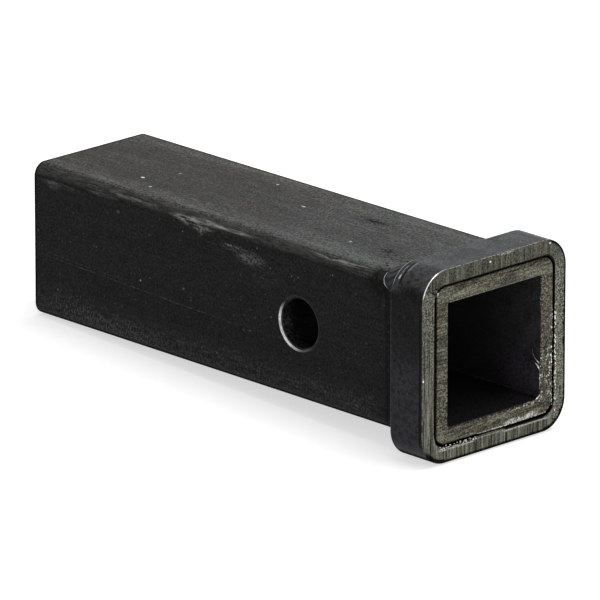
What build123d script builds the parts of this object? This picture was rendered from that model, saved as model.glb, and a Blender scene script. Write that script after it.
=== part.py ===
from build123d import *
import os

# Square steel tubing
tube_side = 63.5
tube_wall = 6.35
tube_length = 228.6
tube_corner = 5.2
bore_corner = 1.0
tube_edge_break = 0.3

# Hitch pin hole, drilled through both side walls
pin_diameter = 19.05
pin_clearance = 1.15
pin_from_mouth = 76.2
pin_chamfer = 1.1

# Reinforcing collar, a square ring of flat bar round the mouth
collar_wall = 6.35
collar_width = 18.0
collar_corner = 5.8
collar_play = 1.0
collar_drop = 0.35
collar_shift = 0.1
collar_front_break = 0.4
collar_rear_break = 0.9

# Fillet weld between the collar's rear face and the tube
weld_reach = 12.0
weld_height = 5.6
weld_crown = 0.7
weld_end_squash = 0.2
bottom_weld_run = 47.0

# Derived sizes and stations along the tube
tube_half = tube_side / 2
bore_side = tube_side - 2 * tube_wall
pin_hole_radius = (pin_diameter + pin_clearance) / 2
mouth_x = pin_from_mouth
rear_x = mouth_x - tube_length
collar_rear_x = mouth_x - collar_width
collar_bore = tube_side + 2 * collar_play
collar_side = collar_bore + 2 * collar_wall
collar_outer_corner = collar_corner + collar_wall
weld_start_z = tube_half - tube_corner


def square_bar(side, corner, start_x, end_x):
    outline = Plane.YZ.offset(start_x) * RectangleRounded(side, side, corner)
    return extrude(outline, amount=end_x - start_x)


def edges_at_x(solid, x):
    return solid.edges().filter_by_position(Axis.X, x - 0.001, x + 0.001)


def receiver_tube():
    tube = square_bar(tube_side, tube_corner, rear_x, mouth_x)
    tube = tube - square_bar(bore_side, bore_corner, rear_x, mouth_x)
    tube = chamfer(edges_at_x(tube, rear_x) + edges_at_x(tube, mouth_x), tube_edge_break)
    tube = tube - Rot(90, 0, 0) * Cylinder(pin_hole_radius, tube_side * 1.5)
    rims = tube.edges().filter_by(GeomType.CIRCLE).filter_by(
        lambda edge: abs(edge.radius - pin_hole_radius) < 0.001 and abs(abs(edge.center().Y) - tube_half) < 0.01
    )
    return chamfer(rims, pin_chamfer)


def collar():
    ring = square_bar(collar_side, collar_outer_corner, collar_rear_x, mouth_x)
    ring = fillet(edges_at_x(ring, mouth_x), collar_front_break)
    ring = fillet(edges_at_x(ring, collar_rear_x), collar_rear_break)
    ring = ring - square_bar(collar_bore, collar_corner, collar_rear_x, mouth_x)
    return Pos(0, -collar_shift, -collar_drop) * ring


def weld_section():
    root = (0, 0, 0)
    tube_toe = (-weld_reach, 0, 0)
    collar_toe = (0, -weld_height, 0)
    slope = (weld_reach**2 + weld_height**2) ** 0.5
    crown = (
        -weld_reach / 2 - weld_crown * weld_height / slope,
        -weld_height / 2 - weld_crown * weld_reach / slope,
        0,
    )
    sides = [Line(root, tube_toe), ThreePointArc(tube_toe, crown, collar_toe), Line(collar_toe, root)]
    return make_face(sides)


def weld_end():
    turned = revolve(weld_section(), axis=Axis((0, 0, 0), (0, 1, 0)), revolution_arc=-90)
    return scale(turned, by=(1, 1, weld_end_squash))


def top_weld():
    x = collar_rear_x
    near = -tube_half
    inner = near + tube_corner
    lean = tube_corner * (1 - 0.5**0.5)
    near_bend = ThreePointArc((x, near, weld_start_z), (x, near + lean, tube_half - lean), (x, inner, tube_half))
    flat = Line((x, inner, tube_half), (x, -inner, tube_half))
    far_bend = ThreePointArc((x, -inner, tube_half), (x, -near - lean, tube_half - lean), (x, -near, weld_start_z))
    section = Pos(x, near, weld_start_z) * weld_section()
    run = sweep(section, path=Wire([near_bend, flat, far_bend]))
    near_end = Pos(x, near, weld_start_z) * weld_end()
    return run + near_end + mirror(near_end, about=Plane.XZ)


def bottom_weld():
    run = extrude(weld_section(), amount=bottom_weld_run, dir=(0, 0, 1))
    far_end = weld_end()
    near_end = Pos(0, 0, bottom_weld_run) * mirror(far_end, about=Plane.XY)
    bead = run + far_end + near_end
    return Pos(collar_rear_x, bottom_weld_run / 2, -tube_half) * Rot(90, 0, 0) * bead


def build():
    parts = {
        "receiver_tube": receiver_tube(),
        "collar": collar(),
        "weld_top": top_weld(),
        "weld_bottom": bottom_weld(),
    }
    os.makedirs("parts", exist_ok=True)
    for name, shape in parts.items():
        export_step(shape, f"parts/{name}.step")


build()
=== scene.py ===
import math
import random

import bmesh
import bpy
from mathutils import Matrix, Vector, noise


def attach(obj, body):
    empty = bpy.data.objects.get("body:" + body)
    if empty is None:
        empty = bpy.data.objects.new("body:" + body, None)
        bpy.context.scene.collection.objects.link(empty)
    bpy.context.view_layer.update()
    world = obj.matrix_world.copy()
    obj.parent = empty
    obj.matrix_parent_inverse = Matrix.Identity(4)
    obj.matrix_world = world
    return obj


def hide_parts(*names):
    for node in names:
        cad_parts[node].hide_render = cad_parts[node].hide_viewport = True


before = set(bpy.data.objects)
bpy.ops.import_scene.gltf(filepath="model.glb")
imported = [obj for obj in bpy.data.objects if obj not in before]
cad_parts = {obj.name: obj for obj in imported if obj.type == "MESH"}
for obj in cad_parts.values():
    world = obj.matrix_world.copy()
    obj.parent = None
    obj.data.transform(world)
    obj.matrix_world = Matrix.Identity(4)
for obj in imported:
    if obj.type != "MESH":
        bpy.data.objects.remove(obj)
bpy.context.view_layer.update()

# Sizes of the part in millimetres, in the frame of the CAD
MM = 0.001
TUBE = 31.75
CORNER = 5.2
FLAT = TUBE - CORNER
EDGE_BREAK = 0.3
MOUTH = 76.2
REAR = -152.4
COLLAR_REAR = 58.2
COLLAR_FOOT = 59.13
COLLAR_LOW = -39.45
COLLAR_SHIFT = 0.1
COLLAR_DROP = 0.35
COLLAR_FLAT = 26.95

# Weld beads: a section along the tube and up the collar, with a crown and ripples; a bead has
# its full section from a station on, and a rounded tip of a given length before it
REACH, RISE, CROWN = 12.0, 5.6, 0.7
RIPPLE = 1.75
TOP_FULL, TOP_CAP = 4.4, 6.6
BOTTOM_FULL, BOTTOM_CAP, BOTTOM_RUN = 1.4, 3.8, 47.0

# Way from a bead's tip that the mesh's colour holds as 1, and depth of the crumbs' middles
TIP_SPAN = 50.0
CRUMB_SINK = 0.35

# Light, floor and camera
WHITE = 1.0
SOFT_WORLD = 0.35
FLOOR_GREY = (0.68, 0.72)
FLOOR_GLOW = 0.62
FLOOR_SIDE = 12
FLOOR_CLEARANCE = 0.00005
KEY_WATTS, RIGHT_WATTS = 16, 6
AZIMUTH, ELEVATION = 46.065, 17.958
CAMERA_TARGET = (-32.01, -0.10, -4.69)
CAMERA_DISTANCE = 3.64137
FOCAL_PIXELS, PICTURE_PIXELS = 9242.16, 600
SENSOR = 36


def lin(*rgb):
    """sRGB numbers from 0 to 255, as linear colour."""
    return tuple(((c / 255 + 0.055) / 1.055) ** 2.4 if c > 10 else c / 255 / 12.92 for c in rgb)


def grey(c):
    return lin(c, c, c)


class Mat:
    """Builds one node material; every length in it is in millimetres."""

    def __init__(self, name):
        self.m = bpy.data.materials.new(name)
        self.m.use_nodes = True
        self.t = self.m.node_tree
        self.t.nodes.clear()
        self.b = self.node("BsdfPrincipled")
        self.node("OutputMaterial", {0: self.b.outputs[0]})
        coord, geometry = self.node("TexCoord"), self.node("NewGeometry")
        self.p = self.vec("SCALE", coord.outputs["Object"], scale=1 / MM)
        self.x, self.y, self.z = self.node("SeparateXYZ", {0: self.p}).outputs
        self.nx = self.node("SeparateXYZ", {0: geometry.outputs["True Normal"]}).outputs[0]

    def node(self, kind, inputs=None):
        """A new node; each input, by name or number, takes a value or another node's socket."""
        n = self.t.nodes.new("ShaderNode" + kind)
        for name, value in (inputs or {}).items():
            self.put(n.inputs[name], value)
        return n

    def put(self, socket, value):
        if isinstance(value, bpy.types.NodeSocket):
            self.t.links.new(value, socket)
        elif socket.type == "RGBA" and len(value) == 3:
            socket.default_value = (*value, 1.0)
        else:
            socket.default_value = value

    def math(self, op, a, b=None, clamp=False):
        n = self.node("Math", {0: a} if b is None else {0: a, 1: b})
        n.operation = op
        n.use_clamp = clamp
        return n.outputs[0]

    def add(self, *terms):
        total = terms[0]
        for term in terms[1:]:
            total = self.math("ADD", total, term)
        return total

    def mul(self, *terms):
        total = terms[0]
        for term in terms[1:]:
            total = self.math("MULTIPLY", total, term)
        return total

    def sub(self, a, b): return self.math("SUBTRACT", a, b)
    def most(self, a, b): return self.math("MAXIMUM", a, b)
    def least(self, a, b): return self.math("MINIMUM", a, b)
    def mag(self, a): return self.math("ABSOLUTE", a)
    def root(self, a): return self.math("SQRT", a)

    def off_axis(self):
        """Distance from the X axis, measured square across the tube."""
        return self.most(self.mag(self.y), self.mag(self.z))

    def affine(self, value, times, plus):
        return self.add(self.mul(value, times), plus)

    def weigh(self, *rows):
        """Adds up rows of a value and its weight."""
        return self.add(*(self.mul(value, weight) for value, weight in rows))

    def patches(self, *rows):
        """Adds up rows of a mask and its weight, to 1 at the most."""
        return self.least(self.weigh(*rows), 1.0)

    def total(self, *terms):
        return self.least(self.add(*terms), 1.0)

    def clamped(self, a, b):
        """The sum of two values, kept from 0 to 1."""
        return self.math("ADD", a, b, clamp=True)

    def drift(self, value, amount):
        """How far a value from 0 to 1 is off its middle, times an amount."""
        return self.mul(self.sub(value, 0.5), amount)

    def vec(self, op, a, b=None, scale=None):
        n = self.node("VectorMath", {0: a} if b is None else {0: a, 1: b})
        n.operation = op
        if scale is not None:
            n.inputs["Scale"].default_value = scale
        return n.outputs["Value"] if op == "LENGTH" else n.outputs[0]

    def stretch(self, by=(1, 1, 1), move=(0, 0, 0)):
        """The place in mm, times a scale for each direction, plus a shift."""
        return self.vec("ADD", self.vec("MULTIPLY", self.p, by), move)

    def noise(self, scale, detail=3.0, rough=0.55, vec=None, warp=0.0):
        n = self.node("TexNoise", {
            "Vector": self.p if vec is None else vec, "Scale": scale, "Detail": detail,
            "Roughness": rough, "Distortion": warp})
        return n.outputs["Fac"]

    def level(self, value, lo=0.34, hi=0.66):
        """Spreads a noise over the whole range from 0 to 1."""
        return self.fade(value, lo, hi, smooth=False)

    def spread(self, scale, detail, rough, lo=0.34, hi=0.66, by=None, move=None):
        """A noise, stretched and shifted where asked, over the whole range from 0 to 1."""
        vec = self.stretch(by or (1, 1, 1), move or (0, 0, 0)) if by or move else None
        return self.level(self.noise(scale, detail, rough, vec), lo, hi)

    def cells(self, scale, vec=None):
        """Distance to the nearest cell point, and two random values of that cell."""
        n = self.node("TexVoronoi", {"Vector": self.p if vec is None else vec, "Scale": scale})
        values = self.node("SeparateColor", {0: n.outputs["Color"]}).outputs
        return n.outputs["Distance"], values[0], values[1]

    def fade(self, v, lo, hi, to_lo=0.0, to_hi=1.0, smooth=True):
        n = self.node("MapRange", {
            "Value": v, "From Min": lo, "From Max": hi, "To Min": to_lo, "To Max": to_hi})
        n.interpolation_type = "SMOOTHSTEP" if smooth else "LINEAR"
        return n.outputs[0]

    def band(self, v, lo, hi, soft):
        """1 from lo to hi, fading to 0 over a soft margin outside."""
        return self.mul(self.fade(v, lo - soft, lo), self.fade(v, hi + soft, hi))

    def line(self, v, at, outer, inner):
        """1 up to the inner distance from a value, fading to 0 at the outer one."""
        return self.fade(self.mag(self.add(v, -at)), outer, inner)

    def mix(self, fac, a, b):
        """Colour a at 0 and b at 1; sockets 6 and 7 of a Mix node are its two colours."""
        n = self.node("Mix")
        n.data_type = "RGBA"
        for i, value in ((0, fac), (6, a), (7, b)):
            self.put(n.inputs[i], value)
        return n.outputs[2]

    def mixf(self, fac, a, b):
        """Value a at 0 and b at 1; sockets 2 and 3 of a Mix node are its two values."""
        return self.node("Mix", {0: fac, 2: a, 3: b}).outputs[0]

    def ramp(self, v, *stops):
        """A colour ramp over v; each stop is a place from 0 to 1 and a colour."""
        n = self.node("ValToRGB", {"Fac": v})
        points = n.color_ramp.elements
        while len(points) < len(stops):
            points.new(0.5)
        for point, (place, colour) in zip(points, stops):
            point.position = place
            point.color = (*colour, 1.0)
        return n.outputs["Color"]

    def tinted(self, colour, cloud, warm, cool):
        """The colour times a tint that drifts from warm to cool with the cloud."""
        return self.vec("MULTIPLY", colour, self.mix(cloud, warm, cool))

    def patch(self, centre, half, soft=0.5, grain=None):
        """An ellipsoid of half sizes in mm with soft edges, broken up by a grain from 0 to 1."""
        d = self.vec("LENGTH", self.vec("DIVIDE", self.vec("SUBTRACT", self.p, centre), half))
        inside = self.fade(d, 1.0, 1.0 - soft)
        return inside if grain is None else self.mul(inside, grain)

    def side_patch(self, x, z, half_x, half_z, soft=0.5, grain=None, deep=1.0):
        return self.patch((x, -TUBE, z), (half_x, deep, half_z), soft, grain)

    def top_patch(self, x, y, half_x, half_y, soft=0.5, grain=None, deep=1.5):
        return self.patch((x, y, TUBE), (half_x, half_y, deep), soft, grain)

    def mouth_patch(self, y, z, half_y, half_z, soft=0.5, grain=None, deep=1):
        return self.patch((MOUTH, y, z), (deep, half_y, half_z), soft, grain)

    def finish(self, colour, metallic, rough, level, height, depth_mm, strength):
        self.put(self.b.inputs["Base Color"], colour)
        self.put(self.b.inputs["Metallic"], metallic)
        self.put(self.b.inputs["Roughness"], rough)
        self.b.inputs["Specular IOR Level"].default_value = level
        depth = depth_mm * MM
        bump = self.node("Bump", {"Strength": strength, "Distance": depth, "Height": height})
        self.put(self.b.inputs["Normal"], bump.outputs[0])
        return self.m


def scale_skin(m, dark, pale, speck, speck_amount):
    """Mill scale: mottle, grain, drawing streaks, and larger and smaller pale specks."""
    patchy = m.spread(0.16, 4, 0.6, move=(31, 7, 11))
    fine = m.noise(0.9, 4, 0.8, m.stretch(move=(3, 17, 5)))
    grit = m.spread(1.25, 1, 0.5, 0.36, 0.64, move=(13, 2, 8))
    drawn = m.noise(1.0, 3, 0.6, m.stretch((0.03, 0.8, 0.8)))
    tone = m.weigh((patchy, 0.16), (m.level(fine, 0.38, 0.62), 0.26), (grit, 0.58))
    tone = m.add(tone, m.mul(m.level(drawn), 0.16), -0.08)
    colour = m.mix(tone, dark, pale)
    dist, pick, size = m.cells(0.26)
    large = m.mul(m.fade(m.sub(dist, m.mul(size, 0.04)), 0.10, 0.05), m.fade(pick, 0.86, 0.88))
    dist, pick, _ = m.cells(0.62, m.stretch((0.8, 1, 1), (5, 5, 5)))
    small = m.mul(m.fade(dist, 0.36, 0.14), m.fade(pick, 0.60, 0.90), m.level(fine, 0.42, 0.60))
    specks = m.patches((large, m.affine(size, 0.6, 0.3)), (small, 0.30))
    colour = m.mix(m.mul(specks, speck_amount), colour, speck)
    height = m.add(fine, m.mul(drawn, 0.25), m.mul(specks, 0.2))
    return colour, m.affine(patchy, 0.10, 0.30), height, tone


def cut_tone(m, along_y, seed):
    """Saw marks, cloud and grain of a cut end; the marks run along Y or along Z."""
    if along_y:
        mark_by, wide_by, warp = (0.1, 0.09, 1.0), (0.1, 0.06, 0.35), 0.5
    else:
        mark_by, wide_by, warp = (0.1, 1.45, 0.05), (0.1, 0.30, 0.04), 0.1
    marks = m.noise(1.0, 3, 0.75, m.stretch(mark_by, (seed, 3, 9)), warp)
    wide = m.spread(1.0, 2, 0.5, by=wide_by, move=(seed, 13, 2))
    grain = m.spread(1.65, 1, 0.5, 0.37, 0.63, (1, 0.85, 1), (seed, 0, 0))
    return m.level(marks, 0.38, 0.62), wide, grain


def cut_rough(m, tone):
    """Cut metal is glossier where it is brighter."""
    return m.fade(tone, 0.1, 0.9, 0.55, 0.38, smooth=False)


def tube_top_film_and_light(m):
    """Dull film on the top that also paints in the light falling on it: darkest along its middle
    and at the rear, lighter by its edges.
    """
    across = m.fade(m.mag(m.add(m.y, 1.0)), 13, 26)
    front = m.fade(m.x, -100, 30)
    lift = m.add(
        m.mul(across, 0.28), m.mul(front, 0.24), m.drift(m.cloud, 0.12),
        m.drift(m.drag, 0.20), m.drift(m.tone, 1.20), m.drift(m.grain, 0.16))
    film_and_light = m.ramp(
        m.clamped(lift, 0.27),
        (0.0, grey(6)), (0.30, lin(34, 34, 33)), (0.60, lin(56, 56, 54)), (1.0, lin(92, 92, 89)))
    cool = m.patches((m.cloud, 0.28), (front, 0.56), (m.fade(m.y, -14, -24), 0.10), (m.drag, 0.1))
    film_and_light = m.tinted(film_and_light, cool, (1.07, 1.0, 0.92), (0.92, 1.01, 1.04))
    hue = m.spread(0.30, 3, 0.6, 0.40, 0.60, (0.5, 1, 1), (1, 6, 2))
    return m.tinted(film_and_light, hue, (1.05, 1.0, 0.94), (0.94, 1.01, 1.05))


def tube_scuffs(m):
    """Scuffs on the near corner and side, where the tube shows them."""
    grain, streaks = m.grain, m.streaks
    rubbed = m.mul(streaks, m.affine(grain, 0.6, 0.4))
    brushed = m.mul(grain, m.affine(streaks, 0.6, 0.4))
    return m.patches(
        (m.patch((-66, -31.3, 28.6), (9, 1.8, 1.6), 0.7, rubbed), 0.95),
        (m.patch((-53, -31.2, 29.2), (13, 2.0, 1.5), 0.5, m.affine(rubbed, 0.7, 0.2)), 1.0),
        (m.patch((-57, -31.6, 27.2), (12, 1.4, 2.4), 0.7, rubbed), 0.90),
        (m.patch((-37, -31.1, 29.3), (13, 1.8, 0.9), 0.6, m.affine(streaks, 0.6, 0.3)), 0.75),
        (m.side_patch(-55.4, 25.2, 2.4, 2.6, 0.8, grain), 0.36),
        (m.side_patch(-37, 22.6, 9, 2.2, 0.8, m.mul(grain, streaks)), 0.60),
        (m.side_patch(-27, 20.4, 11, 4.0, 0.8, brushed), 0.58),
        (m.side_patch(-19, 15.0, 12, 6.0, 0.9, m.mul(grain, streaks)), 0.14),
        (m.patch((20, -30.2, 30.4), (17, 1.6, 1.1), 0.7, streaks), 0.60),
        (m.patch((34, -29.8, 30.7), (8, 1.6, 1.0), 0.7, streaks), 0.40),
        (m.patch((-95, -31.0, 29.4), (34, 1.8, 1.1), 0.8, streaks), 0.36),
        (m.side_patch(-112, 27.4, 12, 1.0, 0.8, streaks), 0.26),
        (m.side_patch(-138, 25.8, 16, 1.6, 0.9, streaks), 0.20),
        (m.side_patch(-141, 25.0, 5, 2.6, 0.8, grain), 0.30),
        (m.side_patch(-103, 22.6, 1.1, 1.2, 0.6, grain), 0.40),
        (m.side_patch(-90.2, -3.0, 0.55, 0.5), 0.95),
        (m.side_patch(-65.3, -0.7, 0.5, 0.5), 0.65),
    )


def tube_wear(m, colour):
    """Scuffs, the long scratch with its painted shadow, and the pale ticks low on the side; gives
    colour and wear.
    """
    grain, streaks, ticks = m.grain, m.streaks, m.ticks
    low_band = m.mul(m.fade(m.z, -15, -25), m.near_side, m.fade(m.x, 56, 40))
    low = m.patches(
        (m.mul(low_band, m.weigh((ticks, 0.6), (m.mul(streaks, grain), 0.7))), 0.60),
        (m.side_patch(-110, -26.5, 46, 6.5, 0.9, m.weigh((ticks, 0.7), (grain, 0.3)), 1.5), 0.70),
        (m.side_patch(-128, -20, 22, 10, 0.9, m.mul(ticks, grain), 1.5), 0.50),
    )
    level = m.add(m.mul(m.x, 0.030), m.z, m.drift(m.noise(0.12, 2, 0.5), 0.5))
    span = m.mul(m.fade(m.x, -151, -142), m.fade(m.x, -10, -60))
    broken = m.fade(m.noise(0.45, 4, 0.8), 0.44, 0.60)
    scratch = m.add(
        m.line(level, -9.6, 0.38, 0.10),
        m.mul(m.line(level, -8.2, 0.30, 0.08), m.fade(m.x, -90, -120)))
    scratch = m.mul(scratch, span, m.near_side, broken)
    # Painted shadow: a dark line along the lower side of the scratch
    scratch_shadow = m.mul(m.line(level, -10.3, 0.5, 0.1), span, m.near_side, broken)
    colour = m.mix(m.mul(scratch_shadow, 0.7), colour, grey(4))
    wear = m.total(tube_scuffs(m), m.mul(scratch, 0.17))
    colour = m.mix(m.mul(wear, 0.95), colour, lin(158, 158, 154))
    return m.mix(m.mul(low, 0.60), colour, grey(116)), wear


def tube_top_marks(m, colour):
    """Bright chips and dark stains on the top; gives the colour and both masks."""
    chips = m.patches(*(
        (m.top_patch(x, y, half_x, half_y, soft, deep=0.5), weight)
        for x, y, half_x, half_y, soft, weight in (
            (-108.2, -13.4, 1.1, 0.8, 0.4, 1.0), (-97.2, -19.6, 0.7, 0.8, 0.5, 0.7),
            (-64, 18.5, 0.7, 0.9, 0.5, 0.6), (-36, 5.7, 1.5, 0.5, 0.5, 0.75),
            (9.5, -12.8, 0.8, 0.8, 0.5, 0.5), (-101.6, 0.9, 0.8, 0.9, 0.5, 0.35))))
    colour = m.mix(chips, colour, lin(228, 226, 218))
    grain = m.grain
    dots, pick, _ = m.cells(0.42, m.stretch((0.8, 1, 1), (7, 1, 3)))
    pepper = m.mul(m.fade(dots, 0.42, 0.26), m.fade(pick, 0.30, 0.40))
    dragged = m.mul(grain, m.affine(m.drag, 0.5, 0.5))
    lone_dots = m.mul(m.fade(m.z, 31.2, 31.7), m.fade(dots, 0.20, 0.08), m.fade(pick, 0.80, 0.85))
    stain = m.patches(
        (m.top_patch(-4, 12, 12, 5, 0.9, m.affine(grain, 0.6, 0.2)), 0.60),
        (m.top_patch(-1, 12.3, 7, 2.5, 0.8, dragged), 0.55),
        (m.top_patch(29, -11, 5, 3, 0.8, grain), 1.0),
        (m.top_patch(39, -19, 12, 9, 0.5, pepper, 2.0), 1.0),
        (m.patch((46, -28, 31.2), (9, 4, 2.5), 0.7, m.affine(grain, 0.6, 0.25)), 0.95),
        (lone_dots, 0.45),
    )
    return m.mix(stain, colour, grey(1)), chips, stain


def tube_soot_and_shade(m, colour):
    """Soot and dirt where the tube meets the collar, with painted shade next to the collar, the
    weld's bright undercut and the seam.
    """
    grain = m.grain
    # Soot and painted shade: a dark band on the tube next to the collar, and a dark patch low on
    # the side by it
    soot_and_shade = m.mul(
        m.band(m.x, 48.6, 56.4, 0.8), m.fade(m.z, 31.6, 30.4),
        m.affine(m.level(grain, 0.3, 0.7), 0.8, 0.20))
    low = m.side_patch(46, -24.5, 7.5, 6, 0.9, grain, 2)
    smudge = m.spread(0.45, 4, 0.7, 0.42, 0.56, (1.2, 1, 0.7), (6, 2, 9))
    under_weld = m.patch((44, -30.8, 27.2), (9, 4.5, 7.5), 0.8, m.affine(smudge, 0.65, 0.35))
    runs = m.spread(1.0, 3, 0.7, 0.46, 0.54, (0.75, 1, 0.22), (1, 2, 5))
    dribbles = m.side_patch(46.0, 21.0, 5.5, 9.5, 0.5, runs, 2.0)
    soot_and_shade = m.total(soot_and_shade, m.mul(low, 0.8), m.mul(under_weld, 0.9), m.mul(dribbles, 0.8))
    colour = m.mix(soot_and_shade, colour, grey(3))
    past_end = m.mul(m.sub(FLAT + TOP_FULL, m.z), 1 / TOP_CAP)
    toe_x = m.sub(COLLAR_REAR, m.mul(m.root(m.sub(1.0, m.mul(past_end, past_end))), REACH))
    undercut = m.mul(
        m.band(m.sub(m.x, toe_x), -0.45, 0.3, 0.35), m.band(m.z, 26.2, 27.7, 0.5), m.near_side)
    colour = m.mix(m.mul(undercut, m.affine(grain, 0.25, 0.65)), colour, lin(215, 215, 213))
    seam = m.mul(m.band(m.x, 57.2, 58.3, 0.5), m.fade(m.z, 27, 23))
    return m.mix(m.mul(seam, 0.5, m.affine(grain, 0.6, 0.3)), colour, grey(104))


def tube_inside(m, colour):
    """Skin of the bore with painted shade on its floor and deeper in, painted light by the mouth
    and far inside, and painted shade in the gap under the collar; gives the colour and the bore.
    """
    grain = m.grain
    inside = m.fade(m.off_axis(), 25.9, 25.6)
    mottle = m.weigh((m.spread(0.12, 4, 0.65), 0.6), (grain, 0.4))
    bore = m.mix(mottle, lin(38, 38, 39), lin(78, 76, 80))
    # Painted shade: the bore's floor darker
    bore = m.mix(m.fade(m.z, -24.8, -25.3), bore, m.mix(grain, grey(10), lin(32, 32, 33)))
    # Painted shade on the walls and roof, deeper in from the mouth
    bore = m.mix(m.mul(m.fade(m.x, 74, 44), m.fade(m.z, -25.0, -24.0), 0.70), bore, grey(46))
    # Painted light on the right wall near the mouth, where light falls in
    mouth_light = m.mul(m.patch((66, 24, -17), (18, 12, 12), 0.9, grain), 0.75)
    bore = m.mix(mouth_light, bore, lin(92, 80, 98))
    # Painted light on the floor far inside, where the rear end and the pin hole let light in
    far_floor_light = m.patch((-54, 20, -25.4), (34, 16, 12), 0.7, m.affine(grain, 0.4, 0.6))
    bore = m.mix(far_floor_light, bore, lin(104, 104, 102))
    colour = m.mix(inside, colour, bore)
    # Painted shade on the tube inside the collar, in the gap
    gap = m.mul(m.fade(m.x, 59.0, 60.0), m.fade(m.off_axis(), 27.0, 28.0))
    return m.mix(gap, colour, grey(5)), inside


def tube_face(m):
    """Saw-cut face with rust and pits on its right; gives colour, tone, bright flecks and pits."""
    grain, streaks = m.grain, m.streaks
    marks, wide, face_grain = cut_tone(m, True, 4.0)
    left_up = m.mul(m.fade(m.y, -24, -27), m.fade(m.z, -22, 8, 0.5, 1.0))
    top_strip = m.fade(m.z, 24, 25.4)
    low_strip = m.fade(m.z, -25, -27)
    right_strip = m.fade(m.y, 25, 29)
    mark_weight = m.most(
        m.mul(left_up, 0.85), m.most(m.mul(top_strip, 0.80), m.mul(low_strip, 0.80)))
    coarse = m.spread(0.8, 2, 0.6, 0.38, 0.62, move=(2, 8, 8))
    rest = m.mixf(m.mul(right_strip, 0.5), face_grain, coarse)
    tone = m.weigh((m.mixf(mark_weight, rest, marks), 0.56), (wide, 0.12), (face_grain, 0.32))
    place = m.add(
        m.mul(top_strip, m.fade(m.z, 27.0, 30.6, 0.13, -0.12)), m.mul(low_strip, 0.02), 0.01)
    face = m.ramp(
        m.clamped(tone, place),
        (0.0, lin(6, 5, 3)), (0.22, lin(46, 44, 38)), (0.55, lin(74, 72, 64)),
        (1.0, lin(124, 122, 110)))
    tint = m.spread(0.28, 3, 0.6, move=(9, 9, 9))
    face = m.tinted(face, tint, (1.06, 1.0, 0.90), (0.95, 1.02, 1.0))
    rust = m.mul(
        m.band(m.y, 25.5, 31, 1.5), m.band(m.z, -2, 20, 5), m.spread(0.6, 3, 0.6, 0.42, 0.60))
    face = m.mix(m.mul(rust, 0.42), face, lin(74, 62, 58))

    pitted = m.mouth_patch(28.3, -18.0, 3.2, 9.0, 0.6, deep=3)
    face = m.mix(m.mul(pitted, 0.5), face, lin(62, 52, 40))
    pits = m.mul(pitted, m.fade(m.cells(0.80)[0], 0.46, 0.20))
    pits = m.most(pits, m.mouth_patch(27.4, -5.0, 0.9, 1.0, deep=2))
    face = m.mix(m.mul(pits, 0.85), face, lin(16, 13, 9))

    # Bright flecks by the right gap, on the bore's rim and along the lower lip
    dist, pick, _ = m.cells(1.25, m.stretch((1, 1.0, 0.75), (3, 3, 3)))
    flecks = m.mul(m.fade(dist, 0.52, 0.24), m.fade(pick, 0.20, 0.45))
    cluster = m.spread(1.0, 2, 0.5, 0.36, 0.52, (0.1, 0.1, 0.16), (2, 2, 2))
    by_gap = m.mul(m.fade(m.y, 30.3, 31.2), m.band(m.z, -28, 9, 3), m.affine(cluster, 0.7, 0.3))
    scatter = m.mul(m.band(m.y, 28.4, 31.0, 1.2), m.band(m.z, -24, -8, 4), cluster, 0.6)
    bore_rim = m.mul(m.band(m.y, 25.5, 26.1, 0.5), m.band(m.z, -24, -8, 3))
    low_rim = m.mul(m.band(m.z, -26.4, -25.6, 0.7), m.band(m.y, 10, 24, 6), 0.5)
    lip_wave = m.add(m.z, m.drift(m.noise(0.16, 2, 0.5), 2.4))
    lip = m.mul(
        m.band(lip_wave, -31.5, -30.6, 0.9), m.band(m.y, 9, 20, 6),
        m.weigh((streaks, 0.25), (grain, 0.85)))
    spots = m.add(by_gap, m.add(m.mul(bore_rim, 0.8), m.add(scatter, low_rim)))
    shine = m.total(m.mul(flecks, spots), m.mul(lip, 0.62))
    face = m.mix(shine, face, lin(226, 225, 217))

    # Dark outer edges, and the ragged edge below the bore
    grimy = m.most(m.fade(m.y, -31.2, -31.5), m.mul(m.fade(m.z, 31.25, 31.55), 0.7))
    face = m.mix(m.mul(grimy, 0.85), face, lin(14, 13, 11))
    edge = m.add(m.z, m.drift(m.noise(0.55, 4, 0.7, m.stretch(move=(7, 2, 4))), 3.4))
    ragged = m.mul(m.fade(edge, -26.15, -25.85), m.band(m.y, -24, 16, 2), m.fade(m.z, -24, -25))
    face = m.mix(m.mul(ragged, 0.8), face, lin(20, 18, 15))
    return face, tone, shine, pits


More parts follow.
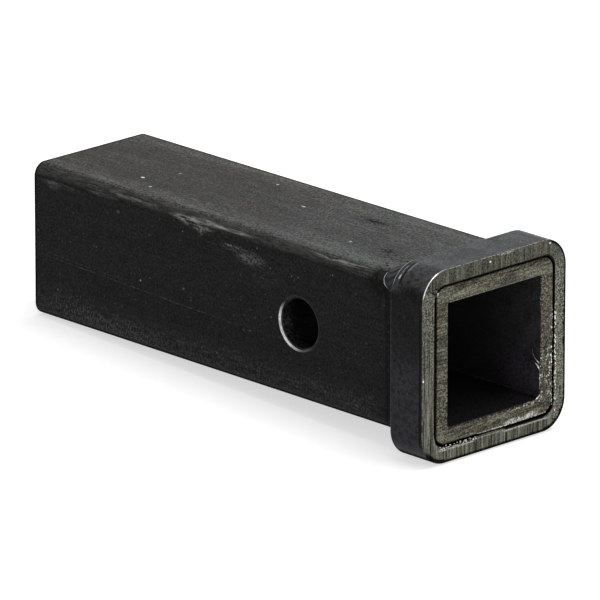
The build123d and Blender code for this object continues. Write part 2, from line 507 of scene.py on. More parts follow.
def pin_hole(m, colour):
    """The drilled wall, darker deeper in as painted shade, and its chamfer, bright on one side as a
    painted highlight; gives the colour and the mask of the hole.
    """
    grain = m.grain
    from_axis = m.root(m.add(m.mul(m.x, m.x), m.mul(m.z, m.z)))
    near_hole = m.fade(from_axis, 11.28, 11.18)
    chamfer = m.mul(
        near_hole, m.fade(m.mag(m.y), 30.55, 30.68), m.fade(from_axis, 10.14, 10.22))
    lean = m.math("DIVIDE", m.weigh((m.x, -0.86), (m.z, -0.50)), m.most(from_axis, 1.0))
    # Painted highlight: the chamfer bright on the side that faces the light, broken by a grain
    bright = m.fade(lean, 0.25, 0.98)
    rub_and_highlight = m.mul(bright, m.affine(m.spread(0.9, 3, 0.7, 0.40, 0.60), 0.55, 0.60))
    rim = m.mix(m.least(rub_and_highlight, 1.0), lin(44, 44, 43), lin(238, 238, 236))
    under = m.mul(m.fade(m.z, -7, -10), m.sub(1.0, bright), 0.45)
    rim = m.mix(under, rim, lin(130, 130, 128))
    inner_line = m.mul(m.fade(from_axis, 10.62, 10.45), m.fade(lean, 0.0, 0.4), 0.95)
    rim = m.mix(inner_line, rim, grey(5))
    halo = m.mul(m.band(from_axis, 11.2, 11.55, 0.2), m.near_side)
    colour = m.mix(m.mul(halo, m.fade(lean, 0.2, 0.6), 0.9), colour, grey(2))
    pale = m.mul(halo, m.fade(lean, 0.1, -0.2), m.affine(grain, 0.5, 0.3))
    colour = m.mix(pale, colour, lin(78, 78, 77))
    turned = m.spread(1.0, 3, 0.6, by=(0.25, 2.4, 0.25))
    grit = m.weigh((turned, 0.25), (m.level(grain, 0.2, 0.9), 0.75))
    # Painted shade deeper in the hole
    deep = m.fade(m.mag(m.y), 30.4, 25.6)
    wall = m.mix(grit, grey(18), lin(74, 74, 73))
    wall = m.mix(m.mul(deep, m.sub(1.0, m.mul(grain, 0.7))), wall, grey(16))
    in_hole = m.mul(near_hole, m.fade(m.mag(m.y), 25.2, 25.5))
    return m.mix(chamfer, m.mix(in_hole, colour, wall), rim), in_hole


def tube_material():
    m = Mat("tube_mill_scale")
    skin, rough, height, m.tone = scale_skin(m, grey(0), grey(47), lin(150, 150, 148), 0.55)
    m.grain = m.spread(1.1, 2, 0.6, 0.40, 0.60, (0.7, 1, 1))
    m.streaks = m.spread(1.0, 3, 0.7, 0.43, 0.58, (0.16, 1.5, 1.5), (8, 1, 4))
    m.ticks = m.spread(1.0, 2, 0.6, 0.51, 0.62, (1.2, 0.5, 0.60), (2, 5, 1))
    m.cloud = m.spread(1.0, 3, 0.6, 0.40, 0.60, (0.03, 0.08, 0.08), (4, 2, 0))
    m.drag = m.spread(1.0, 4, 0.7, 0.42, 0.60, (0.05, 0.34, 0.34), (5, 3, 2))
    m.near_side = m.fade(m.y, -31.0, -31.5)

    # Film over the top corners, lighter than the side as a painted highlight of the light on the
    # corners; its lower edge wanders
    edge_film_and_light = m.mix(m.mul(m.add(m.tone, m.streaks), 0.5), lin(34, 34, 33), lin(86, 86, 83))
    foot = m.add(m.z, m.drift(m.noise(0.2, 3, 0.6, m.stretch((0.3, 1, 1))), 2.0))
    colour = m.mix(m.mul(m.fade(foot, 27.0, 29.0), 0.85), skin, edge_film_and_light)
    colour = m.mix(m.fade(m.z, 30.9, 31.68), colour, tube_top_film_and_light(m))
    colour, wear = tube_wear(m, colour)
    colour, chips, stain = tube_top_marks(m, colour)

    # Painted shade on the far top corner and the lower corner, where they turn from the light, and
    # dark scale round the rear end
    far_corner = m.mul(m.band(m.y, 27.2, 28.9, 0.8), m.fade(m.z, 29.0, 30.6))
    low_corner = m.mul(m.fade(m.z, -29.0, -30.2), m.fade(m.y, -26, -27))
    dark_edges = m.most(m.fade(m.x, -150.9, -151.5), m.most(far_corner, low_corner))
    colour = m.mix(m.mul(dark_edges, 0.9), colour, grey(2))

    colour = tube_soot_and_shade(m, colour)
    colour, inside = tube_inside(m, colour)
    face, face_tone, shine, pits = tube_face(m)
    rear_end = m.mul(m.fade(m.nx, -0.8, -0.9), m.fade(m.x, -151.8, -152.0))
    end = m.most(m.mul(m.fade(m.nx, 0.55, 0.65), m.fade(m.x, 75.6, 75.8)), rear_end)
    colour, in_hole = pin_hole(m, m.mix(end, colour, face))

    bare = m.patches((end, 0.9), (in_hole, 0.5), (wear, 0.3), (chips, 0.5))
    rough = m.mixf(m.most(dark_edges, stain), rough, 1.0)
    rough = m.mixf(end, rough, cut_rough(m, face_tone))
    rough = m.mixf(in_hole, rough, 0.36)
    rough = m.mixf(inside, rough, 0.50)
    height = m.mixf(end, height, m.weigh((face_tone, 0.30), (shine, 0.4), (pits, -0.8)))
    return m.finish(colour, bare, rough, 0.035, height, 0.10, 1.0)


def collar_skin(m, skin):
    """Skin outside the cut: lighter and bluer below as a painted reflection of the floor, and a
    dull film over the corner and the top that also paints in the light on them.
    """
    tone, cloud, mottle = m.tone, m.cloud, m.mottle
    # Painted reflection of the floor: the skin lighter and bluer towards the bottom
    lower = m.mul(m.fade(m.z, 14, -10), m.weigh((tone, 0.5), (mottle, 0.45), (cloud, 0.15)))
    colour = m.mix(m.least(lower, 1.0), skin, lin(68, 68, 74))
    # Painted highlight: a lighter film over the near top corner
    arc = m.add(m.angle, m.mul(m.sub(m.x, COLLAR_REAR), -0.017), m.drift(cloud, 0.10))
    shoulder = m.mul(m.fade(arc, 0.0, 0.34), m.fade(m.z, 10, 20))
    corner_film_and_light = m.mix(
        m.weigh((tone, 0.5), (mottle, 0.3), (cloud, 0.2)), lin(30, 30, 31), lin(98, 97, 99))
    colour = m.mix(m.mul(shoulder, 0.85), colour, corner_film_and_light)
    # The top's film also paints in the light falling on the top, and is darker towards the front
    # edge
    film_tone = m.add(m.mul(tone, 0.85), m.mul(cloud, 0.25), m.fade(m.x, 62, 75, -0.09, -0.18))
    film_and_light = m.ramp(
        m.clamped(film_tone, 0.0),
        (0.0, lin(16, 17, 17)), (0.5, lin(60, 62, 63)), (1.0, lin(94, 95, 98)))
    film_and_light = m.tinted(film_and_light, mottle, (0.98, 1.0, 0.98), (1.0, 1.0, 1.06))
    colour = m.mix(m.fade(m.z, 36.8, 38.3), colour, film_and_light)
    front_line = m.mul(m.band(m.x, 74.4, 75.9, 0.5), m.fade(m.z, 26, 20), m.fade(m.y, -38, -39))
    return m.mix(m.mul(front_line, 0.8), colour, lin(5, 5, 12))


def collar_rear_rim(m, colour):
    """Rubbed and heat-tinted rear rim by the weld, with painted highlights along its rounded edge
    and a painted glint; gives the colour and the rubbed and lit lines.
    """
    rim_break = m.spread(1.0, 3, 0.6, 0.35, 0.55, move=(1, 1, 6))
    streaky = m.affine(rim_break, 0.65, 0.35)

    def along(x_mask, lo, hi, soft):
        return m.mul(x_mask, m.near_top, m.band(m.angle, lo, hi, soft))

    # Painted highlight along the rounded rear edge, partly rubbed metal
    rear = m.mul(along(m.fade(m.x, 59.3, 58.8), 0.50, 1.45, 0.2), streaky)
    second = along(m.band(m.x, 60.6, 61.0, 0.3), 0.66, 1.12, 0.12)
    glint = m.mul(second, m.band(m.angle, 0.64, 0.74, 0.04))
    third = along(m.band(m.x, 62.6, 62.9, 0.3), 1.0, 1.40, 0.12)
    tint = along(m.band(m.x, 59.3, 60.4, 0.4), 0.45, 1.20, 0.2)
    shade = along(m.band(m.x, 61.6, 62.3, 0.4), 0.50, 1.35, 0.15)
    colour = m.mix(m.mul(tint, streaky, 0.7), colour, lin(44, 57, 57))
    colour = m.mix(m.mul(shade, 0.85), colour, lin(7, 9, 9))
    lines = m.patches((rear, 0.60), (m.mul(second, rim_break), 0.28), (glint, 0.9), (third, 0.25))
    colour = m.mix(lines, colour, lin(196, 204, 200))
    blots = m.spread(0.35, 4, 0.7, 0.46, 0.58, move=(8, 3, 3))
    sooty = m.mul(m.patch((67, -36.5, 32.5), (9, 6, 8), 0.6), blots)
    colour = m.mix(m.mul(sooty, 0.6), colour, lin(16, 17, 17))
    # Painted highlight: the sides lighter along the rear edge
    edge = m.mul(
        m.fade(m.x, 59.1, 58.6), m.fade(m.z, 27, 24), m.spread(0.6, 3, 0.6, 0.30, 0.55))
    return m.mix(m.mul(edge, 0.42), colour, grey(150)), lines


def collar_face(m):
    """Saw-cut face: marks up and down, strongest below; gives colour, tone, flecks and pits."""
    marks, wide, face_grain = cut_tone(m, False, 7.0)
    left = m.fade(m.y, -31, -33)
    weight = m.most(m.fade(m.z, 22, -12, 0.35, 0.76), m.mul(m.top_strip, 0.58))
    weight = m.mixf(m.right, weight, 0.20)
    tone = m.weigh((m.mixf(weight, face_grain, marks), 0.95), (wide, 0.05))
    tone = m.mixf(m.mul(m.top_strip, 0.30), tone, 0.5)
    place = m.add(
        m.fade(m.z, -26, -36, 0.0, -0.09), m.mul(m.top_strip, -0.19), m.mul(m.right, 0.01),
        m.mul(left, -0.07))
    face = m.ramp(
        m.clamped(tone, place),
        (0.0, lin(26, 26, 22)), (0.25, lin(64, 64, 58)), (0.55, lin(95, 95, 87)),
        (1.0, lin(135, 135, 125)))
    tint = m.spread(0.30, 3, 0.6, by=(1, 1, 0.7), move=(5, 5, 9))
    face = m.tinted(face, tint, (1.07, 1.0, 0.88), (0.95, 1.02, 1.02))
    slits = m.mul(m.fade(marks, 0.20, 0.04), m.sub(1.0, m.right), m.fade(m.z, 14, -8), 0.85)
    face = m.mix(slits, face, lin(20, 19, 15))
    face = m.mix(m.mul(m.right, m.fade(m.z, 22, 34), 0.4), face, lin(62, 70, 68))

    # Painted shade of the gap spread over the inner edge: wider at the top, on the right and below
    # the gap
    swell = m.band(m.y, -10, 4, 3)
    low_rim = m.mul(m.fade(m.z, -29, -31), m.sub(1.0, swell))
    gap_shade_reach = m.weigh((m.fade(m.z, 28, 31), 0.15), (m.right, 0.1), (low_rim, 0.42))
    inner_edge = m.add(m.sub(m.rim, gap_shade_reach), m.drift(m.noise(0.9, 2, 0.6), 0.5))
    face = m.mix(m.mul(m.fade(inner_edge, 33.05, 32.9), 0.95), face, grey(3))

    # Bright flecks, dots and the rubbed crest of the lower inner edge
    dist, pick, _ = m.cells(1.25, m.stretch((1, 1.0, 0.75), (9, 3, 3)))
    flecks = m.mul(m.fade(dist, 0.55, 0.26), m.fade(pick, 0.12, 0.35))
    right_flecks = m.mul(m.band(m.y, 33.0, 33.5, 0.45), m.band(m.z, -31, 10, 3))
    low_flecks = m.mul(m.band(m.z, -33.5, -33.0, 0.25), m.band(m.y, -29, -11, 2))
    dots = m.patches(
        (m.mouth_patch(-38.8, -3.75, 0.5, 0.6), 1.0),
        (m.mouth_patch(-2.75, 36.6, 0.6, 0.4), 0.9),
        (m.mouth_patch(30, 37.0, 0.6, 0.5), 0.9),
        (m.mouth_patch(6.0, 38.2, 6.0, 0.5, 0.8, face_grain), 0.5),
    )
    crest_low = m.mul(
        m.band(m.z, -34.25, -33.95, 0.35), m.band(m.y, -29, 28, 3), m.sub(1.0, swell))
    crest_high = m.mul(m.band(m.z, -33.6, -33.35, 0.3), swell, 0.6)
    crest = m.mul(m.add(crest_low, crest_high), 0.42)
    shine = m.total(
        m.mul(flecks, m.most(right_flecks, low_flecks)), dots,
        m.mul(crest, m.affine(face_grain, 0.7, 0.3)))
    face = m.mix(shine, face, lin(226, 226, 218))
    pit_noise = m.fade(m.noise(0.85, 2, 0.5), 0.53, 0.43)
    pits = m.mouth_patch(-32.4, 31.2, 3.2, 2.6, 0.6, pit_noise, 2)
    return m.mix(pits, face, lin(12, 12, 5)), tone, shine, pits


def collar_material():
    m = Mat("collar_scale")
    skin, rough, height, m.tone = scale_skin(m, grey(2), lin(42, 42, 43), lin(130, 130, 134), 0.40)
    m.cloud = m.spread(0.11, 3, 0.6, 0.40, 0.60, move=(2, 9, 4))
    m.mottle = m.spread(0.45, 3, 0.6, 0.40, 0.60, move=(4, 4, 2))
    m.top_strip = m.fade(m.z, 30, 33)
    m.right = m.fade(m.y, 30, 33)

    # Around the outer corners: the angle from the side, 0 at the side and 1.57 at the top
    up = m.sub(m.mag(m.z), 26.8)
    out = m.sub(m.mag(m.y), 26.9)
    m.angle = m.math("ARCTAN2", up, m.most(out, 0.01))
    m.near_top = m.mul(m.fade(m.y, -24, -27), m.fade(m.z, 23, 25))

    # Distance from the ring's middle: 32.75 at its inner edge, 39.1 at its outer edge
    corner_dist = m.root(m.add(m.mul(up, up), m.mul(out, out)))
    past = m.mul(m.fade(up, 0.0, 0.1), m.fade(out, 0.0, 0.1))
    flat_dist = m.most(m.mag(m.add(m.y, COLLAR_SHIFT)), m.mag(m.add(m.z, COLLAR_DROP)))
    m.rim = m.mixf(past, flat_dist, m.add(corner_dist, COLLAR_FLAT))

    colour = collar_skin(m, skin)
    # Painted shade on the far top corner and on the underside
    far_corner = m.mul(m.fade(m.y, 30.5, 32.5), m.fade(m.z, 34, 35.5))
    dark_edges = m.most(far_corner, m.fade(m.z, -34.5, -37))
    colour = m.mix(m.mul(dark_edges, 0.85), colour, grey(3))
    colour, lines = collar_rear_rim(m, colour)
    # Painted shade on the collar's inner faces, in the gap round the tube
    inner = m.mul(m.fade(m.off_axis(), 33.6, 33.3), m.fade(m.nx, 0.6, 0.5))
    colour = m.mix(inner, colour, grey(6))
    face, face_tone, shine, pits = collar_face(m)
    end = m.mul(m.fade(m.nx, 0.80, 0.92), m.fade(m.x, 75.6, 75.8))
    colour = m.mix(end, colour, face)

    # Front edge: a painted glint round the near top corner and painted glints along the top, dark
    # scale on the right and below
    edge = m.mul(m.sub(1.0, end), m.fade(m.x, 75.75, 75.9), m.fade(m.nx, 0.02, 0.10))
    broken = m.spread(0.8, 3, 0.6, 0.40, 0.60)
    edge_colour = m.mix(m.mul(broken, 0.8), lin(56, 56, 52), lin(116, 116, 110))
    edge_colour = m.mix(m.mul(m.top_strip, broken, 0.6), edge_colour, lin(150, 150, 142))
    glint = m.mul(m.near_top, m.band(m.angle, 0.34, 1.12, 0.20))
    edge_colour = m.mix(glint, edge_colour, lin(240, 240, 236))
    colour = m.mix(edge, colour, edge_colour)
    scaled = m.mul(
        m.fade(m.rim, 37.6, 38.25), m.most(m.fade(m.y, 29, 31), m.fade(m.z, -32, -35)))
    nicks = m.most(
        m.mouth_patch(38.4, 2.8, 1.7, 1.4, 0.4), m.mouth_patch(38.6, -4.8, 1.7, 3.4, 0.4))
    scaled = m.mul(
        m.most(scaled, nicks), m.fade(m.x, 75.6, 75.75), m.affine(broken, 0.15, 0.85))
    colour = m.mix(scaled, colour, grey(3))

    bare = m.total(m.mul(m.add(end, edge), 0.9), m.mul(lines, 0.5))
    bare = m.mul(bare, m.sub(1.0, m.mul(scaled, 0.8)))
    rough = m.mixf(end, m.sub(rough, 0.04), cut_rough(m, face_tone))
    rough = m.mixf(m.most(m.mul(dark_edges, m.sub(1.0, end)), scaled), rough, 1.0)
    cut_height = m.weigh((face_tone, 0.30), (shine, 0.4), (pits, -0.8))
    height = m.mixf(end, m.mul(height, 0.5), cut_height)
    return m.finish(colour, bare, rough, 0.04, height, 0.10, 1.0)


def weld_material():
    """Weld metal; the mesh holds the place across the bead, the way from its tip and the ripple."""
    m = Mat("weld_bead")
    held = m.node("Attribute")
    held.attribute_name = "weld"
    across, along, crest = m.node("SeparateColor", {0: held.outputs["Color"]}).outputs
    along = m.mul(along, TIP_SPAN)
    grain = m.spread(1.0, 4, 0.75, 0.38, 0.62)
    tint = m.spread(0.25, 3, 0.5)
    # Ripple crests painted lighter, a painted highlight where the light catches them
    tone = m.weigh((crest, 0.62), (grain, 0.38))
    colour = m.ramp(tone, (0.0, lin(2, 2, 3)), (0.45, lin(24, 24, 25)), (1.0, lin(66, 66, 69)))
    colour = m.tinted(colour, tint, (1.05, 1.0, 0.94), (0.98, 1.0, 1.10))
    channel = m.mul(m.band(across, 0.10, 0.20, 0.07), 0.85)
    colour = m.mix(channel, colour, grey(3))
    tip_dark = m.fade(along, 0.4, -0.9)
    colour = m.mix(m.mul(tip_dark, 0.8), colour, grey(5))
    wavy = m.add(across, m.drift(m.noise(0.5, 2, 0.5), 0.02))
    wavy = m.sub(wavy, m.fade(along, 0.6, -2.0, 0.0, 0.16))
    toe = m.mul(m.fade(wavy, 0.095, 0.060), m.band(along, -2.2, 5.2, 0.5))
    toe = m.mul(toe, m.affine(grain, 0.2, 0.8))
    near_tip = m.mul(m.fade(m.z, 0, 20), m.fade(m.y, 0, -20))
    toe = m.mul(toe, m.affine(near_tip, 0.70, 0.30))
    colour = m.mix(toe, colour, lin(232, 232, 230))
    height = m.weigh((grain, 0.6), (crest, 0.2))
    return m.finish(colour, m.mul(toe, 0.6), m.affine(grain, 0.15, 0.32), 0.05, height, 0.08, 1.0)


def burr_material():
    """Bare torn metal of the saw cut; its curls in the bore are dull at the top."""
    m = Mat("bare_burr")
    grain = m.spread(1.3, 3, 0.7)
    lot = m.spread(0.42, 1, 0.5, 0.42, 0.58, move=(4, 7, 1))
    bright = m.mul(grain, m.affine(lot, 0.60, 0.40))
    colour = m.mix(bright, lin(96, 95, 88), lin(255, 255, 250))
    dull = m.mul(m.band(m.y, 20, 25.2, 0.3), m.fade(m.z, -11, -7.5))
    colour = m.mix(m.mul(dull, 0.9), colour, lin(62, 58, 72))
    return m.finish(colour, 0.8, m.affine(grain, 0.2, 0.28), 0.4, grain, 0.1, 0.7)


def smear_material(name, dark, pale, crest_at, crest_amount):
    """Saw-cut metal smeared over the gap, like the face round it, with a rubbed crest."""
    m = Mat(name)
    marks, _, grain = cut_tone(m, False, 7.0)
    tone = m.weigh((marks, 0.45), (grain, 0.55))
    colour = m.mix(tone, dark, pale)
    crest = m.mul(m.fade(m.z, *crest_at), m.fade(m.z, 0, -10), m.level(grain, 0.2, 0.8))
    colour = m.mix(m.mul(crest, crest_amount), colour, lin(222, 221, 212))
    return m.finish(colour, 0.9, m.affine(grain, 0.15, 0.38), 0.3, tone, 0.1, 0.6)


WELD_MAT, BURR_MAT = weld_material(), burr_material()
HUMP_MAT = smear_material(
    "smeared_collar", lin(28, 28, 24), lin(118, 118, 108), (-32.9, -32.4), 0.40)
LIP_MAT = smear_material(
    "smeared_tube", lin(34, 33, 28), lin(130, 129, 118), (-33.0, -31.9), 0.65)


def dress(node, material):
    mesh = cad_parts[node].data
    mesh.materials.clear()
    mesh.materials.append(material)


dress("receiver_tube", tube_material())
dress("collar", collar_material())


def piece(name, bm, material):
    """Makes an object from mesh data in millimetres and hangs it on the one body."""
    bmesh.ops.scale(bm, vec=(MM, MM, MM), verts=bm.verts)
    bmesh.ops.recalc_face_normals(bm, faces=bm.faces)
    mesh = bpy.data.meshes.new(name)
    bm.to_mesh(mesh)
    bm.free()
    for face in mesh.polygons:
        face.use_smooth = True
    mesh.materials.append(material)
    ob = bpy.data.objects.new(name, mesh)
    bpy.context.scene.collection.objects.link(ob)
    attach(ob, "root")
    return ob


def close_rings(bm, rows):
    """Joins rings of points into a closed skin with a face at each end."""
    for a, b in zip(rows, rows[1:]):
        for j in range(len(a)):
            k = (j + 1) % len(a)
            bm.faces.new((a[j], a[k], b[k], b[j]))
    bm.faces.new(rows[0])
    bm.faces.new(reversed(rows[-1]))


# Weld beads: a station runs over the tube's outline, 0 where the near corner starts
CORNER_RUN = CORNER * math.pi / 2
ROUND_END = 2 * CORNER_RUN + 2 * FLAT


def over_corners(s):
    """Place on the tube's top outline in the YZ plane, and the way out from it."""
    if s <= 0:
        return Vector((-TUBE, FLAT + s)), Vector((-1, 0))
    if s < CORNER_RUN:
        a = s / CORNER
        way = Vector((-math.cos(a), math.sin(a)))
        return Vector((-FLAT, FLAT)) + way * CORNER, way
    if s <= CORNER_RUN + 2 * FLAT:
        return Vector((-FLAT + s - CORNER_RUN, TUBE)), Vector((0, 1))
    place, way = over_corners(ROUND_END - s)
    return Vector((-place.x, place.y)), Vector((-way.x, way.y))


def along_flat(s):
    """Place on the tube's bottom face, 0 at the near end of the bead's run."""
    return Vector((s - BOTTOM_RUN / 2, -TUBE)), Vector((0, -1))


def weld_bead(name, node, outline, run, full_from, cap, seed):
    """A rippled bead with a rounded tip at each end of its run."""
    bm = bmesh.new()
    layer = bm.loops.layers.float_color.new("weld")
    first, last = full_from - cap, run - full_from + cap
    steps, ring = 420, 30
    wobble_depth, ripple_depth, ripple_bow, shake_depth = 0.035, 0.26, 3.2, 0.45
    rows, marks = [], {}
    for i in range(steps + 1):
        s = first + (last - first) * i / steps
        from_end = min(s, run - s)
        inward = max(0.0, full_from - from_end) / cap
        full = max(0.02, math.sqrt(max(0.0, 1 - inward ** 2)))
        wobble = 1 + wobble_depth * noise.noise(Vector((s * 0.35, seed, 0)))
        reach, rise = REACH * full * wobble, RISE * full ** 0.8
        place, way = outline(s)
        lean = Vector((rise, reach)).normalized()
        row = []
        for j in range(ring + 1):
            t = (j / ring) ** 1.3
            arc = ripple_bow * math.sqrt(max(0.0, 1 - (2 * t - 1) ** 2)) * (1 - 0.3 * t)
            shake = shake_depth * noise.noise(Vector((s * 0.6, t * 2, seed)))
            crest = abs(math.sin(math.pi * (from_end + arc + shake) / RIPPLE))
            hold = min(1.0, 5 * t) * min(1.0, 5 * (1 - t)) * min(1.0, full * 1.5)
            lift = CROWN * full * 4 * t * (1 - t) + ripple_depth * (crest - 0.75) * hold
            back = reach * (1 - t) + lean.x * lift
            high = max(rise * t + lean.y * lift, 0.02)
            p = place + way * high
            v = bm.verts.new((COLLAR_REAR - back, p.x, p.y))
            marks[v] = (t, from_end / TIP_SPAN, crest ** 1.6 * (0.2 + 0.8 * hold), 1)
            row.append(v)
        root = bm.verts.new((COLLAR_REAR, place.x, place.y))
        marks[root] = (1, from_end / TIP_SPAN, 0, 1)
        row.append(root)
        rows.append(row)
    close_rings(bm, rows)
    for face in bm.faces:
        for loop in face.loops:
            loop[layer] = marks[loop.vert]
    ob = piece(name, bm, WELD_MAT)
    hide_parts(node)


weld_bead("rippled_weld_top", "weld_top", over_corners, ROUND_END, TOP_FULL, TOP_CAP, 3.1)
weld_bead(
    "rippled_weld_bottom", "weld_bottom", along_flat, BOTTOM_RUN, BOTTOM_FULL, BOTTOM_CAP, 8.7)


def crumb(bm, place, radius, stretch, seed):
    """A torn fragment: a ball pulled out of shape, cut off at the mouth's plane."""
    made = bmesh.ops.create_icosphere(bm, subdivisions=2, radius=1.0)["verts"]
    for v in made:
        n = noise.noise(v.co * 1.7 + Vector((seed * 3.7, seed, 0)))
        v.co *= 1 + 0.75 * n
        pulled = Vector([c * s for c, s in zip(v.co, stretch)])
        v.co = pulled * radius + Vector(place)
        v.co.x = min(v.co.x, MOUTH - 0.01)


def crumbs(name, rows):
    """Fragments just behind the mouth's plane; a row is y, z, radius and stretch."""
    bm = bmesh.new()
    for i, (y, z, radius, stretch) in enumerate(rows):
        crumb(bm, (MOUTH - CRUMB_SINK, y, z), radius, stretch, i + 1)
    piece(name, bm, BURR_MAT)


# Fragments in the bottom gap, left of the smear
crumbs("gap_crumbs_bottom", [
    (-29.4, -32.8, 0.50, (0.8, 1.2, 0.8)), (-27.4, -33.0, 0.30, (0.8, 1.1, 0.9)),
    (-26.0, -32.5, 0.26, (0.8, 1, 1)), (-23.7, -32.9, 0.50, (0.8, 1.2, 0.8)),
    (-21.5, -33.0, 0.30, (0.8, 1.1, 0.8)), (-18.3, -32.8, 0.52, (0.8, 0.8, 1)),
    (-15.5, -32.9, 0.60, (0.8, 1.3, 0.8)), (-13.0, -32.8, 0.40, (0.8, 1.2, 0.8)),
    (-10.2, -32.8, 0.36, (0.8, 1.5, 0.7)), (-31.1, -32.2, 0.34, (0.8, 1, 1)),
    (-20.0, -32.7, 0.26, (0.8, 1.2, 0.8)),
])

# Fragments along the right gap
random.seed(11)
crumbs("gap_crumbs_right", [
    (31.60 + 0.4 * random.random(), 9 - 1.1 * i + random.uniform(-0.4, 0.4),
     random.uniform(0.16, 0.28), (0.8, 0.9, 1.4))
    for i in range(36) if random.random() < 0.68
])

# Drop of metal at the near top corner of the tube's face
crumbs("corner_bead", [
    (-30.7, 29.2, 0.80, (0.5, 0.85, 1.1)), (-30.3, 28.2, 0.45, (0.6, 1, 1.2)),
])


def strip(name, points, material, depth):
    """A smear of metal: each point is y, lower z and upper z; depth runs back from the mouth."""
    bm = bmesh.new()
    rows = []
    for y, low, high in points:
        jag = 0.06 * noise.noise(Vector((y * 2.3, 1, 7)))
        x0 = MOUTH - 0.02 - 0.05 * abs(noise.noise(Vector((y * 0.9, 4, 2))))
        rows.append([bm.verts.new(c) for c in (
            (x0 - depth, y, low), (x0 - 0.12, y, low + jag * 0.3), (x0, y, low + 0.12),
            (x0, y, (low + high) / 2), (x0, y, high - 0.12 + jag), (x0 - 0.15, y, high + jag),
            (x0 - depth, y, high + jag * 0.5))])
    close_rings(bm, rows)
    piece(name, bm, material)


def hill(y, start, end, power):
    if not start < y < end:
        return 0.0
    return math.sin(math.pi * (y - start) / (end - start)) ** power


# The collar's lower inner edge, smeared up over the gap
strip("gap_hump", [
    (y, -33.25, -33.1 + 0.38 * hill(y, -14, 7, 0.8)) for y in [-13.9 + 0.3 * i for i in range(70)]
], HUMP_MAT, 1.6)

# The tube's lower edge, drawn down into a ragged lip
strip("gap_lip", [
    (y, -31.6 - 0.50 * hill(y, -10, 29, 0.4) - 0.22 * noise.noise(Vector((y * 0.9, 0, 3))), -31.3)
    for y in [-9.8 + 0.3 * i for i in range(128)]
], LIP_MAT, 0.9)

# The saw's burr along the top of the bore
strip("bore_top_burr", [
    (y, 24.98 + 0.16 * noise.noise(Vector((y * 0.8, 5, 1))), 25.5)
    for y in [-25.0 + 0.4 * i for i in range(126)]
], LIP_MAT, 0.7)


def sliver(bm, points, widths):
    """A curled shaving: a bent tapering strip of four-sided section along its points."""
    rows = []
    for i, (point, width) in enumerate(zip(points, widths)):
        p = Vector(point)
        ahead = Vector(points[min(i + 1, len(points) - 1)]) - Vector(points[max(i - 1, 0)])
        across = ahead.cross(Vector((1, 0, 0))).normalized()
        rows.append([bm.verts.new(c) for c in (
            p + across * width, p + Vector((0.45 * width, 0, 0)),
            p - across * width, p - Vector((0.7 * width, 0, 0)))])
    close_rings(bm, rows)


def bore_burr(*shavings):
    """Shavings on the bore's edge; each is a row of points x, y, z and width."""
    bm = bmesh.new()
    for rows in shavings:
        sliver(bm, [row[:3] for row in rows], [row[3] for row in rows])
    piece("bore_burr", bm, BURR_MAT)


bore_burr(
    # Two curls, low on the right
    [(75.6, 25.7, -14.4, 0.50), (75.6, 25.2, -13.2, 0.52), (75.4, 24.5, -12.0, 0.40),
     (75.2, 23.9, -11.2, 0.26), (75.0, 23.4, -10.5, 0.08)],
    [(75.6, 25.6, -11.6, 0.34), (75.5, 24.6, -10.4, 0.26), (75.3, 23.6, -9.2, 0.20),
     (75.1, 22.8, -8.0, 0.15), (74.9, 22.3, -6.6, 0.12), (74.8, 22.0, -5.4, 0.10),
     (74.8, 22.4, -4.6, 0.05)],
    # Shavings that lie along the edge: in the corner, below the curls and above them
    [(75.7, 25.7, -23.6, 0.30), (75.7, 25.1, -24.5, 0.55), (75.7, 24.2, -25.1, 0.55),
     (75.7, 23.0, -25.6, 0.20)],
    [(75.7, 25.6, -22.6, 0.12), (75.7, 25.45, -20.8, 0.26), (75.7, 25.35, -19.0, 0.18),
     (75.7, 25.45, -17.0, 0.34), (75.7, 25.6, -14.8, 0.30)],
    [(75.7, 25.7, 17.0, 0.08), (75.7, 25.45, 15.6, 0.16), (75.7, 25.5, 14.0, 0.12),
     (75.7, 25.4, 12.8, 0.20), (75.7, 25.7, 11.6, 0.08)],
)


# Floor, light and camera
def light_path_strength(t, low, high):
    """Strength that is high for camera, glossy and transmission rays, and low for the rest."""
    path = t.nodes.new("ShaderNodeLightPath")
    value = path.outputs["Is Camera Ray"]
    for name in ("Is Glossy Ray", "Is Transmission Ray"):
        n = t.nodes.new("ShaderNodeMath")
        n.operation = "MAXIMUM"
        t.links.new(value, n.inputs[0])
        t.links.new(path.outputs[name], n.inputs[1])
        value = n.outputs[0]
    n = t.nodes.new("ShaderNodeMapRange")
    n.inputs["To Min"].default_value = low
    n.inputs["To Max"].default_value = high
    t.links.new(value, n.inputs["Value"])
    return n.outputs[0]


def floor_material():
    mat = bpy.data.materials.new("floor_white")
    mat.use_nodes = True
    t = mat.node_tree
    t.nodes.clear()
    out = t.nodes.new("ShaderNodeOutputMaterial")
    diffuse = t.nodes.new("ShaderNodeBsdfDiffuse")
    grain = t.nodes.new("ShaderNodeTexNoise")
    grain.inputs["Scale"].default_value = 900
    ramp = t.nodes.new("ShaderNodeMapRange")
    ramp.inputs["To Min"].default_value, ramp.inputs["To Max"].default_value = FLOOR_GREY
    t.links.new(grain.outputs["Fac"], ramp.inputs["Value"])
    t.links.new(ramp.outputs[0], diffuse.inputs["Color"])
    glow = t.nodes.new("ShaderNodeEmission")
    t.links.new(light_path_strength(t, 0.0, FLOOR_GLOW), glow.inputs["Strength"])
    both = t.nodes.new("ShaderNodeAddShader")
    t.links.new(diffuse.outputs[0], both.inputs[0])
    t.links.new(glow.outputs[0], both.inputs[1])
    t.links.new(both.outputs[0], out.inputs[0])
    return mat


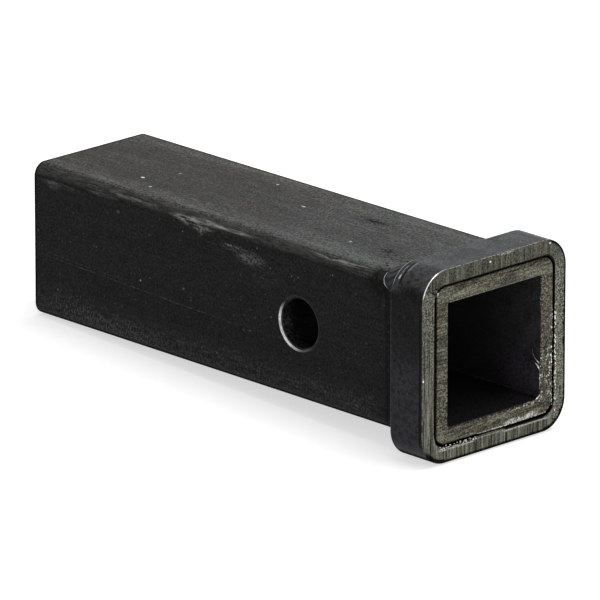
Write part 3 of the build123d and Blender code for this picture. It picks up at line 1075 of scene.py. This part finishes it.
def make_floor():
    """A plane that touches the collar's rear lower edge and the tube's rear lower edge."""
    front = Vector((COLLAR_FOOT, 0, COLLAR_LOW)) * MM
    back = Vector((REAR + EDGE_BREAK, 0, -TUBE)) * MM
    slope = math.atan2(front.z - back.z, front.x - back.x)
    bpy.ops.mesh.primitive_plane_add(size=1.0, location=(0, 0, 0))
    floor = bpy.context.object
    floor.name = "floor"
    floor.scale = (FLOOR_SIDE, FLOOR_SIDE, 1)
    floor.rotation_euler = (0, -slope, 0)
    floor.location = front - Vector((0, 0, FLOOR_CLEARANCE))
    floor.data.materials.append(floor_material())


def make_world():
    world = bpy.data.worlds.new("studio")
    bpy.context.scene.world = world
    world.use_nodes = True
    t = world.node_tree
    t.nodes.clear()
    out = t.nodes.new("ShaderNodeOutputWorld")
    background = t.nodes.new("ShaderNodeBackground")
    background.inputs["Color"].default_value = (1, 1, 1, 1)
    t.links.new(light_path_strength(t, SOFT_WORLD, WHITE), background.inputs["Strength"])
    t.links.new(background.outputs[0], out.inputs[0])


def area(name, place, target, size, watts):
    light = bpy.data.lights.new(name, "AREA")
    light.shape = "RECTANGLE"
    light.size, light.size_y = size
    light.energy = watts
    ob = bpy.data.objects.new(name, light)
    bpy.context.scene.collection.objects.link(ob)
    ob.location = place
    ob.rotation_euler = (Vector(target) - Vector(place)).to_track_quat("-Z", "Y").to_euler()


def make_camera():
    """The camera of the photograph, fitted to the tube's and the collar's edges."""
    az, el = math.radians(AZIMUTH), math.radians(ELEVATION)
    back = Vector((math.sin(az) * math.cos(el), -math.cos(az) * math.cos(el), math.sin(el)))
    right = Vector((math.cos(az), math.sin(az), 0))
    up = back.cross(right)
    eye = Vector(CAMERA_TARGET) * MM + back * CAMERA_DISTANCE
    data = bpy.data.cameras.new("camera")
    data.sensor_fit = "HORIZONTAL"
    data.sensor_width = SENSOR
    data.lens = FOCAL_PIXELS * SENSOR / PICTURE_PIXELS
    data.clip_end = 100
    ob = bpy.data.objects.new("camera", data)
    bpy.context.scene.collection.objects.link(ob)
    ob.matrix_world = Matrix((
        (right.x, up.x, back.x, eye.x),
        (right.y, up.y, back.y, eye.y),
        (right.z, up.z, back.z, eye.z),
        (0, 0, 0, 1),
    ))
    bpy.context.scene.camera = ob


make_floor()
make_world()
area("key", (0.15, 0.35, 1.5), (-0.03, 0, 0), (1.2, 1.2), KEY_WATTS)
area("right", (1.4, 0.5, 0.6), (0, 0, 0), (0.9, 0.9), RIGHT_WATTS)
make_camera()
bpy.context.scene.view_settings.view_transform = "Standard"
